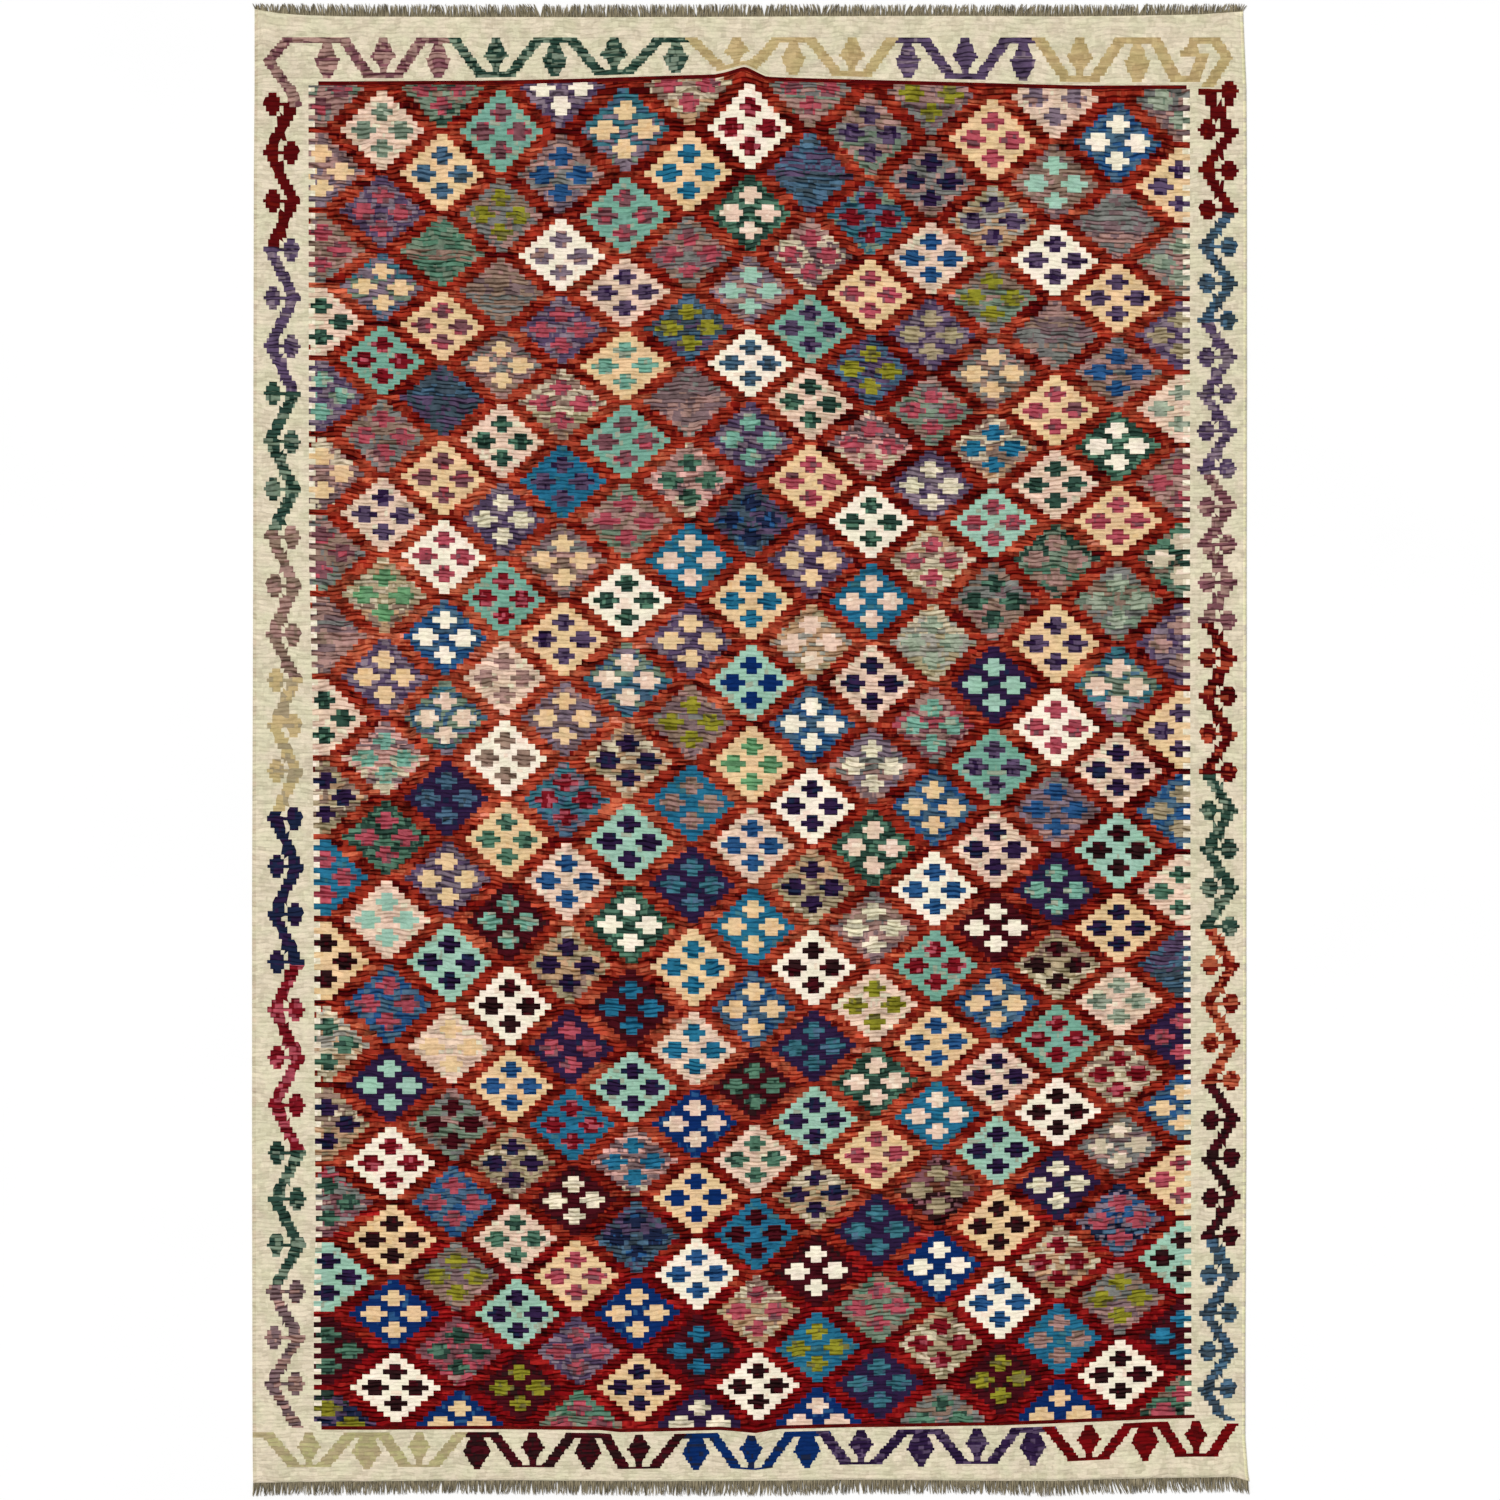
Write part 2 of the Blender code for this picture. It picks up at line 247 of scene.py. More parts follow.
# Where most of the diamonds stand, by their family and the yarn of their crosses: 274 is place 4 of row 27
standing = dict(
    ivory=dict(
        crimson=[13, 270], violetGrey=[42], violet=[46], steel=[73], darkGreen=[114, 132], rose=[121, 166],
        taupe=[171], purple=[184], blue=[205, 303, 315], darkBrown=[224, 231, 266, 330, 333, 336],
    ),
    gold=dict(
        rose=[15, 54, 86, 104, 116, 274, 287, 302], steel=[21], brightBlue=[23, 133, 223],
        violet=[27, 56, 142, 146, 167], plum=[61, 101], turquoise=[72], leafGreen=[173], seaGreen=[191],
        purple=[216, 332], darkBrown=[220, 290, 295], blue=[245, 251], royal=[283],
    ),
    pinkIvory=dict(
        greyGreen=[10], violetGrey=[6], blue=[45, 193, 202], violet=[52, 110],
        darkGreen=[60, 84, 91, 106, 160], sage=[87, 236], mauve=[151], purple=[154, 176, 195, 255],
        mint=[210], lime=[234], brightBlue=[243], gold=[241], seaGreen=[207, 273, 291],
    ),
    mint=dict(rose=[115], royal=[153], darkBrown=[196, 307], purple=[192, 221, 252, 264, 275, 300, 311]),
    turquoise=dict(plum=[11, 32, 92], violet=[64, 175], crimson=[70, 131, 225, 246]),
    brightBlue=dict(
        violet=[102], pinkIvory=[123, 134, 265], mauve=[183, 326], rose=[200], gold=[213], crimson=[262],
        maroon=[293], lime=[324],
    ),
    blue=dict(ivory=[16, 141, 164], gold=[185, 233, 235, 267], rose=[230, 281], khaki=[187]),
    royal=dict(pinkIvory=[263, 344], ivory=[305], gold=[310, 312, 341, 346]),
    purple=dict(
        mint=[155, 250], steel=[181], teal=[203, 244, 294, 334], turquoise=[206], rose=[242, 247],
        cream=[286, 343],
    ),
    violet=dict(
        rose=[30, 62, 322], khaki=[65, 67], turquoise=[80, 93], cream=[105, 111], gold=[124, 143, 150, 201],
        ivory=[2], mauve=[147],
    ),
    maroon=dict(
        turquoise=[211], ivory=[215, 304], brightBlue=[232, 323, 327], seaGreen=[253, 320], cream=[282],
        lime=[331, 335],
    ),
    darkGreen=dict(pinkIvory=[33, 194, 254], ivory=[96, 212], rose=[190]),
    slateMarl=dict(lime=[63, 74], bare=[24, 81, 227], navy=[113, 292]),
    mauveMarl=dict(
        lime=[31, 163, 301, 316], gold=[71, 75, 122], purple=[25], mint=[26], blue=[76], darkGreen=[135],
        cream=[214], stone=[276], bare=[36],
    ),
    khakiMarl=dict(
        purple=[172, 180, 204, 222, 260, 271, 284], darkBrown=[226], brightBlue=[95], rose=[82, 125],
        leafGreen=[130], crimson=[256, 306, 325],
    ),
    tealMarl=dict(pinkIvory=[152, 156, 161], crimson=[34, 182], gold=[12, 50]),
    violetMarl=dict(lime=[5], gold=[20, 162], blue=[22, 186], mint=[53], cream=[174]),
    sageMarl=dict(lime=[55], violet=[14], rose=[85], plum=[0, 120], maroon=[261], sage=[136]),
    stoneMarl=dict(violet=[35], pinkIvory=[144], sage=[145], seaGreen=[240]),
    pinkMarl=dict(gold=[100], seaGreen=[103], turquoise=[170], brightBlue=[272]),
    greenMarl=dict(rose=[1], bare=[41], stone=[127], mauve=[126]),
    roseMarl=dict(turquoise=[165]),
    blueMarl=dict(rose=[296]),
    darkMarl=dict(lime=[340]),
)
# The rest are drawn by lot, as family and crosses, down to a row of diamonds
lots = (
    (14, "mauveMarl rose, mauveMarl rose, mauveMarl sage, mauveMarl bare, sageMarl rose, sageMarl sage, "
         "sageMarl bare, pinkMarl sage, pinkMarl rose, khakiMarl rose"),
    (34, "khakiMarl rose, khakiMarl crimson, roseMarl darkGreen, violetMarl steel, sageMarl seaGreen, "
         "greenMarl navy, greenMarl rose, brownMarl khaki"),
)

# The chart: each grid face's two yarns, the second one's share and how streaky it is
chart = np.zeros((rowCount, columnCount, 4))
latticed = np.zeros((rowCount, columnCount), bool)
# How far grid points are moved to where the yarn turns, in columns and in rows
nudge = {way: np.zeros((rowCount + 1, columnCount + 1)) for way in ("across", "down")}
farthest = dict(across=0.42, down=1.1)
allRows = slice(0, rowCount)


def fill(rows, first, last, yarn):
    one, two, share, streak = yarn
    chart[rows, first:last] = yarnNames.index(one), yarnNames.index(two), share, streak


def move(way, rows, columns, distance):
    nudge[way][rows, columns] = np.clip(distance, -farthest[way], farthest[way])


def paint(row, left, right, yarn, low=0, high=columnCount, wobble=0.12):
    # an edge between two columns moves the nearest grid points to where it falls
    left = max(left + random.uniform(-wobble, wobble), low)
    right = min(right + random.uniform(-wobble, wobble), high)
    first, last = int(round(left)), int(round(right))
    if not 0 <= row < rowCount or last <= first:
        return slice(0, 0)
    fill(row, first, last, yarn)
    for edge, place in ((first, left), (last, right)):
        if low < edge < high:
            move("across", slice(row, row + 2), edge, place - edge)
    return slice(first, last)


def columnOf(unit):
    return fieldStart + 2 * (unit - weave["firstUnit"])


def familyAt(diamondRow, place):
    for name, crosses in standing.items():
        for cross, places in crosses.items():
            if 10 * diamondRow + place in places:
                return name, cross
    return random.choice(next(lot for lastRow, lot in lots if diamondRow <= lastRow).split(", ")).split()


calmYarns = ("ivory", "pinkIvory", "gold", "mint", "royal", "stone")
# The yarn that is spun in with each yarn of the crosses
pairedWith = dict(
    rose="plum", crimson="rose", mauve="taupe", violetGrey="mauve", darkGreen="seaGreen", teal="steel",
    violet="purple", darkBrown="maroon", lime="olive", gold="wheat", turquoise="sage", greyGreen="sage",
    steel="slate", stone="shell", sage="greyGreen", plum="rose", seaGreen="darkGreen", purple="navy",
    pinkIvory="shell", navy="blue",
)
# How a diamond steps out: half its width at each tier from the middle, in units, and its four crosses
diamond = dict(
    halves=(6.6, 5.6, 4.7, 3.7, 2.75, 1.8, 0.85),
    # unit, tier, half the arm, half the stub
    crosses=((0, -3, 1.75, 0.85), (0, 3, 1.75, 0.85), (-2.95, 0, 1.98, 1.02), (2.95, 0, 1.98, 1.02)),
    spunFrom=0.15,  # streakier grounds than this are spun
    spunWobble=0.5, plainWobble=0.14,
    # the second yarn's share
    spunShare=(0.3, 0.6), plainShare=0.15, crossShare=(0.15, 0.4),
    # streakiness of the crosses
    calm=0.07, lively=0.2,
    sameYarns=0.45,  # how often a tier keeps both yarns of the one before
)


def pairOf(ground, before):
    # a spun ground keeps its two yarns for a tier or two, then changes one of them
    if len(ground) == 2:
        return ground
    if not before:
        return tuple(random.sample(ground, 2))
    if random.random() < diamond["sameYarns"]:
        return before
    kept = random.choice(before)
    return kept, random.choice([name for name in ground if name != kept])


def weaveDiamond(diamondRow, place):
    name, cross = familyAt(diamondRow, place)
    words, streak = families[name]
    ground = words.split()
    spun = streak > diamond["spunFrom"]
    wobble = diamond["spunWobble" if spun else "plainWobble"]
    middleUnit = (place + diamondRow % 2 / 2) * weave["diamondUnits"]
    middleRow = topRow + 1 + diamondRow * weave["diamondTiers"]

    def paintTier(row, unit, half, yarn):
        return paint(row, columnOf(unit - half), columnOf(unit + half), yarn, fieldStart, fieldEnd, wobble)

    pair = ()
    for tier in range(-6, 7):
        row = middleRow + tier
        if topRow <= row < footRow:
            pair = pairOf(ground, pair)
            share = random.uniform(*diamond["spunShare"]) if spun else diamond["plainShare"]
            half = diamond["halves"][abs(tier)]
            latticed[row, paintTier(row, middleUnit, half, (*pair, share, streak))] = True
    if cross == "bare":
        return
    liveliness = diamond["calm" if cross in calmYarns else "lively"]
    for unitShift, tierShift, arm, stub in diamond["crosses"]:
        for tier, half in ((-1, stub), (0, arm), (1, stub)):
            row = middleRow + tierShift + tier
            if topRow <= row < footRow:
                share = random.uniform(*diamond["crossShare"])
                yarn = (cross, pairedWith.get(cross, cross), share, liveliness)
                paintTier(row, middleUnit + unitShift, half, yarn)


lattice = dict(
    # reds from darkest to lightest, over most of the field and near its foot
    most=("blackRed", "darkRed", "red", "brick", "rust", "salmon"),
    foot=("wine", "ruby", "scarlet", "scarlet", "coral", "salmon"),
    # up the rug, between these the reds change over
    footFrom=-0.9, footBy=-1.2,
    # which red comes most, how far the others stray from it, and how often a run keeps the red over it
    usual=2.25, stray=0.45, sameRed=0.3, share=(0.25, 0.5), streak=0.36,
    # parts of the field whose reds lean darker or lighter: across, up, reach, lean
    zones=(
        (-0.1, 1.3, 0.2, -1.1), (0.33, 0.65, 0.16, -1.6), (-0.65, 0.25, 0.28, 1.0), (-0.3, 0.72, 0.2, 0.6),
        (0.06, -0.52, 0.32, 1.1), (0.35, -0.95, 0.2, 1.0), (0.0, -1.3, 0.6, -1.1), (-0.75, -1.25, 0.35, -0.9),
        (0.7, -1.25, 0.35, -1.0), (-0.35, 0.1, 0.28, 0.8), (0.62, -0.25, 0.35, -0.7),
    ),
)


def redLean(across, up):
    lean = 0.0
    for x, y, reach, most in lattice["zones"]:
        lean += most * math.exp(-(((across - x) / reach) ** 2) - ((up - y) / reach) ** 2)
    return lean


def weaveLattice():
    before = []
    for row in range(topRow, footRow):
        free = np.flatnonzero(~latticed[row, fieldStart:fieldEnd]) + fieldStart
        now = []
        for run in np.split(free, np.flatnonzero(np.diff(free) > 1) + 1):
            if not len(run):
                continue
            middle = float(run.mean())
            up = float(upAt(row, 0.0))
            near = [shade for place, shade in before if abs(place - middle) < 5]
            if near and random.random() < lattice["sameRed"]:
                shade = near[0]
            else:
                lean = redLean(float(acrossAt(middle, up)), up)
                shade = random.gauss(lattice["usual"] + lean, lattice["stray"])
            now.append((middle, shade))
            index = int(np.clip(round(shade), 1, 4))
            other = int(np.clip(index + random.choice((-2, -1, -1, 1, 1)), 0, 5))
            foot = random.random() < (lattice["footFrom"] - up) / (lattice["footFrom"] - lattice["footBy"])
            reds = lattice["foot" if foot else "most"]
            share = random.uniform(*lattice["share"])
            fill(row, run[0], run[-1] + 1, (reds[index], reds[other], share, lattice["streak"]))
        before = now


def weaveFieldEdges():
    # the field's sides end in teeth, one tier out and one tier back, and a dark red line closes its ends
    for row in range(topRow + 1, footRow, 2):
        paint(row, fieldStart, fieldStart + 2.0, weave["teeth"], fieldStart)
        paint(row, fieldEnd - 2.2, fieldEnd, weave["teeth"], 0, fieldEnd)
    fill(slice(weave["topRows"], topRow), fieldStart + 3, fieldEnd - 1, weave["line"])
    fill(slice(footRow, borderRow), fieldStart + 2, fieldEnd + 1, weave["line"])
    fill(allRows, 0, 1, weave["leftSelvedge"])
    fill(allRows, columnCount - 1, columnCount, weave["rightSelvedge"])


fill(allRows, 0, columnCount, weave["plain"])
for diamondRow in range(weave["diamondRows"]):
    for place in range(8 - diamondRow % 2):
        weaveDiamond(diamondRow, place)
weaveLattice()
weaveFieldEdges()
print("field charted")


# Vines down the sides, in metres: heights of some of their turns, where their tips are at some heights, and
# the sizes of band, tips and leaves. A yarn lasts up to the turn before it, counted from the top.
sideVines = dict(
    left=dict(
        turns=(
            (0, 1.295), (4, 0.906), (9, 0.427), (11, 0.231), (14, -0.042), (18, -0.425), (22, -0.808),
            (27, -1.271),
        ),
        near=((-1.2, -0.976), (-0.92, -0.9685), (0.06, -0.97), (0.5, -0.977), (1.3, -0.978)),
        far=((-1.3, -0.894), (-0.9, -0.891), (-0.2, -0.896), (0.5, -0.902), (1.3, -0.903)),
        startsFar=True, edge=-0.94, band=0.0245, spike=0.005,
        leafWidths=(0.0165, 0.0285), leafHeights=(0.0235, 0.0148, 0.0034),
        yarns=(
            (2.93, "wine", "darkRed", 0.15, 0.08), (5.93, "violetGrey", "violet", 0.6, 0.2),
            (8.9, "greyGreen", "darkGreen", 0.5, 0.2), (11.93, "mauve", "taupe", 0.5, 0.2),
            (14.9, "straw", "khaki", 0.3, 0.06),
            (18.06, "purple", "navy", 0.4, 0.14), (21.93, "rose", "crimson", 0.5, 0.2),
            (24.9, "greyGreen", "darkGreen", 0.55, 0.2), (99, "greyMauve", "mauve", 0.35, 0.24),
        ),
    ),
    right=dict(
        turns=((0, 1.322), (3, 1.083), (9, 0.64), (18, -0.044), (26, -0.664), (31, -1.053), (34, -1.281)),
        near=((-1.3, 0.896), (-0.9, 0.903), (-0.55, 0.903), (-0.1, 0.899), (0.66, 0.894), (1.1, 0.897)),
        far=((-1.3, 0.976), (-0.9, 0.983), (-0.55, 0.9825), (0.0, 0.9765), (0.66, 0.975), (1.1, 0.979)),
        startsFar=False, edge=0.94, band=0.0245, spike=0.0045,
        leafWidths=(0.0185, 0.0305), leafHeights=(0.0198, 0.0124, 0.0034),
        yarns=(
            (3.1, "wine", "darkRed", 0.2, 0.1), (6.1, "steel", "slate", 0.5, 0.2),
            (10.1, "violetGrey", "violet", 0.5, 0.2), (14.06, "mauve", "plum", 0.45, 0.2),
            (18.08, "brick", "wine", 0.5, 0.2), (22.08, "greyGreen", "darkGreen", 0.55, 0.2),
            (26.06, "rust", "darkRed", 0.35, 0.2), (30.08, "darkBrown", "maroon", 0.45, 0.15),
            (99, "steel", "slate", 0.4, 0.2),
        ),
    ),
)


def columnAt(across, up):
    columns = np.arange(columnCount + 1)
    return float(np.interp(across, acrossAt(columns, up), columns))


def rowAt(up, across):
    rows = np.arange(rowCount + 1)
    return np.interp(up, upAt(rows, across)[::-1], rows[::-1])


def paintAcross(row, left, right, up, yarn, wobble=0.12):
    return paint(row, columnAt(left, up), columnAt(right, up), yarn, wobble=wobble)


def yarnAt(vine, place):
    # now and then a pick mostly of the second yarn
    one, two, share, streak = next(yarn for limit, *yarn in vine["yarns"] if place < limit)
    return (two, one, 0.15, streak) if random.random() < share * 0.5 else (one, two, share, streak)


def weaveSideVine(vine):
    numbers = np.arange(vine["turns"][-1][0] + 1)
    turnUps = readTable(vine["turns"], numbers)
    turnRows = rowAt(turnUps, vine["edge"])
    lastRow = 2 * turnRows[-1] - turnRows[-2]
    spike, band = vine["spike"], vine["band"]
    for row in range(int(turnRows[0]), int(round(lastRow))):
        place = float(np.interp(row + 0.5, [*turnRows, lastRow], [*numbers, numbers[-1] + 1]))
        fold = abs(1 - place % 2)  # 1 at the turns like the first, 0 at the others
        share = fold if vine["startsFar"] else 1 - fold
        up = float(upAt(row + 0.5, vine["edge"]))
        near, far = readTable(vine["near"], up), readTable(vine["far"], up)
        left = near + spike * 0.2 + share * (far - near - spike * 0.4 - band)
        paintAcross(row, left, left + band, up, yarnAt(vine, place), 0.2)

    endWidth, bodyWidth = vine["leafWidths"]
    heights = np.array(vine["leafHeights"])
    for number, up, middle in zip(numbers, turnUps, turnRows):
        near, far = readTable(vine["near"], up), readTable(vine["far"], up)
        bandIsFar = (number % 2 == 0) == vine["startsFar"]
        centre = near + spike + bodyWidth / 2 if bandIsFar else far - spike - bodyWidth / 2
        tip = (far - band, far) if bandIsFar else (near, near + band)
        # the rows that the leaf's steps begin on, and where they should begin
        places = rowAt(np.concatenate((up + heights, up - heights[::-1])), vine["edge"])
        edges = [0, 0, int(middle), int(middle) + 1, 0, 0]
        for step in (1, 0):
            edges[step] = min(int(round(places[step])), edges[step + 1] - 1)
        for step in (4, 5):
            edges[step] = max(int(round(places[step])), edges[step - 1] + 1)
        painted = {}
        for step, width in enumerate((endWidth, bodyWidth, None, bodyWidth, endWidth)):
            left, right = (centre - width / 2, centre + width / 2) if width else (near, far)
            for row in range(edges[step], edges[step + 1]):
                painted[step] = paintAcross(row, left, right, up, yarnAt(vine, number), 0.1)
        for step, (edge, place) in enumerate(zip(edges, places)):
            columns = painted[(1, 1, 2, 2, 3, 3)[step]]
            move("down", edge, slice(columns.start, columns.stop + 1), place - edge)
        # the stem is thin, the band's tip a whole tier
        first, last = (int(round(columnAt(place, up))) for place in tip)
        for edge, half in ((edges[2], -0.5), (edges[3], 0.5)):
            move("down", edge, slice(first, last + 1), middle + half - edge)


# Vines along the ends: middles of the leaves that hang and stand, their widths in columns row by row, half
# the length of the flat bands, and yarns up to a place across. Up to slimTo the standing leaves are slimmer.
endVines = dict(
    top=dict(
        firstRow=0, high=7, low=19, lowRows=2, up=1.41,
        hanging=(-0.85, -0.627, -0.393, -0.15, 0.085, 0.315, 0.546, 0.775),
        standing=(-0.737, -0.511, -0.274, -0.028, 0.203, 0.43, 0.66),
        hangingWidths=(2.6, 2.7, 3.4, 4.4, 4.8, 5.9, 8.1, 7.2, 6.7, 6.2, 4.7, 4.2, 2.8),
        standingWidths=(2.7, 3.0, 4.4, 4.7, 5.6, 7.0, 8.1, 6.3, 4.5, 3.6, 2.5, 2.2),
        flatHigh=0.045, flatLow=0.041, slimTo=-2.0,
        yarns=(
            (-0.593, "mauve", "plum", 0.35, 0.2), (-0.108, "greyGreen", "darkGreen", 0.45, 0.2),
            (0.269, "straw", "camel", 0.3, 0.05), (0.632, "violet", "violetGrey", 0.2, 0.2),
            (2.0, "camel", "straw", 0.4, 0.05),
        ),
    ),
    bottom=dict(
        firstRow=borderRow, high=1, low=13, lowRows=1, up=-1.4,
        hanging=(-1.003, -0.77, -0.549, -0.326, -0.11, 0.113, 0.341, 0.566, 0.791),
        standing=(-0.886, -0.665, -0.437, -0.224, 0.001, 0.221, 0.454, 0.678, 0.893),
        hangingWidths=(3.0, 4.3, 5.2, 6.2, 6.8, 7.7, 8.6, 7.4, 6.3, 5.2, 4.0, 3.1, 2.0),
        standingWidths=(2.6, 3.0, 3.9, 5.2, 6.3, 7.8, 6.2, 5.2, 4.2, 3.1, 2.2, 2.2),
        flatHigh=0.045, flatLow=0.043, slimTo=-0.6,
        yarns=(
            (-0.599, "drab", "moss", 0.4, 0.05), (-0.158, "maroon", "darkBrown", 0.4, 0.12),
            (0.155, "royal", "navy", 0.15, 0.06), (0.6, "purple", "violet", 0.3, 0.14),
            (2.0, "ruby", "wine", 0.35, 0.1),
        ),
    ),
)
endBand = dict(
    halfColumns=2.0,
    footIn=0.0135,  # the slanting part starts this far inside the flat one's end
    farthestNext=0.15, slimmer=0.86,
)


def weaveEndVine(vine):
    high, low = vine["high"], vine["low"]

    def span(row, left, right, yarn):
        paintAcross(vine["firstRow"] + row, left, right, vine["up"], yarn)

    def slope(fromAcross, fromRow, toAcross, toRow, yarn=None):
        # without its own yarn it takes that of its second end
        for row in range(min(fromRow, toRow), max(fromRow, toRow) + 1):
            across = fromAcross + (toAcross - fromAcross) * (row - fromRow) / (toRow - fromRow)
            stitch(row, across, endBand["halfColumns"], yarn or yarnAt(vine, toAcross))

    def stitch(row, across, half, yarn):
        column = columnAt(across, vine["up"])
        paint(vine["firstRow"] + row, column - half, column + half, yarn)

    turnHigh, turnLow = vine["flatHigh"] - endBand["footIn"], vine["flatLow"] - endBand["footIn"]
    lowest = low + vine["lowRows"] - 1
    for across in vine["hanging"]:
        if across > -1:
            for step, width in enumerate(vine["hangingWidths"]):
                stitch(high + 1 + step, across, width / 2, yarnAt(vine, across))
        for row in (high, high + 1):
            span(row, across - vine["flatHigh"], across, yarnAt(vine, across - 0.02))
            span(row, across, across + vine["flatHigh"], yarnAt(vine, across + 0.02))
        for other in vine["standing"]:
            side = 1 if other > across else -1
            if abs(other - across) < endBand["farthestNext"]:
                slope(across + side * turnHigh, high, other - side * turnLow, lowest)
    for across in vine["standing"]:
        slim = endBand["slimmer"] if across < vine["slimTo"] else 1
        for step, width in enumerate(vine["standingWidths"]):
            stitch(high + step, across, width * slim / 2, yarnAt(vine, across))
        for row in range(low, low + vine["lowRows"]):
            span(row, across - vine["flatLow"], across + vine["flatLow"], yarnAt(vine, across))
    return slope, span  # the corners are drawn with the same two


for vine in sideVines.values():
    weaveSideVine(vine)
slope, span = weaveEndVine(endVines["top"])
mauveBand, strawBand = endVines["top"]["yarns"][0][1:], endVines["top"]["yarns"][-1][1:]
# the corners, where the end vines turn into the side vines: row, left, right, or a slope's two ends
for corner in (
    (7, -0.94, -0.85), (7, 0.879, 0.943), (8, -0.94, -0.85), (8, 0.879, 0.943), (-0.928, 7, -0.966, 15),
    (-0.966, 15, -0.912, 28), (0.81, 7, 0.853, 20), (19, 0.841, 0.901), (20, 0.841, 0.901),
    (0.907, 12, 0.889, 20), (9, 0.875, 0.896), (10, 0.869, 0.897), (11, 0.861, 0.898), (12, 0.861, 0.899),
    (0.93, 7, 0.954, 13), (0.954, 13, 0.916, 22),
):
    (slope if len(corner) == 4 else span)(*corner, mauveBand if corner[-2] < 0 else strawBand)
slope, span = weaveEndVine(endVines["bottom"])
slope(0.925, 13, 0.967, 2, endVines["bottom"]["yarns"][-1][1:])
print("borders charted")


cloth = dict(
    pickTiers=6.0,  # picks of weft in a tier
    bandTiers=1.25,  # bands of one shade in a tier
    warpsPerUnit=5.0, beadsPerUnit=1.3,
    # in metres, but for the last
    slitDepth=0.0005, selvedgeRise=0.0005, edgeFall=0.001, ripple=0.0003, floorGap=0.0002,
    bumpDepth=0.0007, bumpStrength=0.6,
    # how strong the marks in the wool and the painted shade in its gaps are, in plain yarn and for each unit
    # of a yarn's streakiness
    beadPlain=0.26, beadSpun=1.6, dyeDepth=7.0, gapShadePlain=0.06, gapShadeSpun=4.2,
    # how the bands wander, in tiers, and the noise for it: turns in a unit across and in a tier up
    slowWander=1.5, slowNoise=(0.2, 0.13), unevenWander=0.7, unevenNoise=(0.06, 1.2),
    # noise along each band, for its second yarn, its dye and its gaps: turns in a unit, and shift a band
    yarnNoise=(0.4, 5.31), dyeNoise=(0.3, 1.73), gapNoise=(0.34, 3.7), gapEdge=(0.18, 0.4),
    # where the gaps break; how the painted shade in the gaps deepens and darkens the colour; the darkest
    # tone, and the brightness
    gapBreaks=(0.36, 0.5), gapShadeGamma=1.5, gapShadeTone=0.55, darkest=0.25, brightness=1.06,
    greener=(0.96, 0.99, 0.95, 1.0), pinker=(1.04, 1.0, 1.03, 1.0), roughness=(0.82, 0.96),
    specular=0.03,
)


def addObject(name, data):
    made = bpy.data.objects.new(name, data)
    bpy.context.scene.collection.objects.link(made)
    return made


def addPiece(name, mesh, material):
    mesh.materials.append(material)
    return addObject(name, mesh)


def clothMesh():
    grid = bmesh.new()
    bmesh.ops.create_grid(grid, x_segments=columnCount, y_segments=rowCount, size=1.0)
    rim = [edge for edge in grid.edges if edge.is_boundary]
    turned = bmesh.ops.extrude_edge_only(grid, edges=rim)["geom"]
    turnedPoints = [item for item in turned if isinstance(item, bmesh.types.BMVert)]
    bmesh.ops.translate(grid, verts=turnedPoints, vec=(0, 0, -1))
    mesh = bpy.data.meshes.new("kilimCloth")
    grid.to_mesh(mesh)
    grid.free()
    return mesh


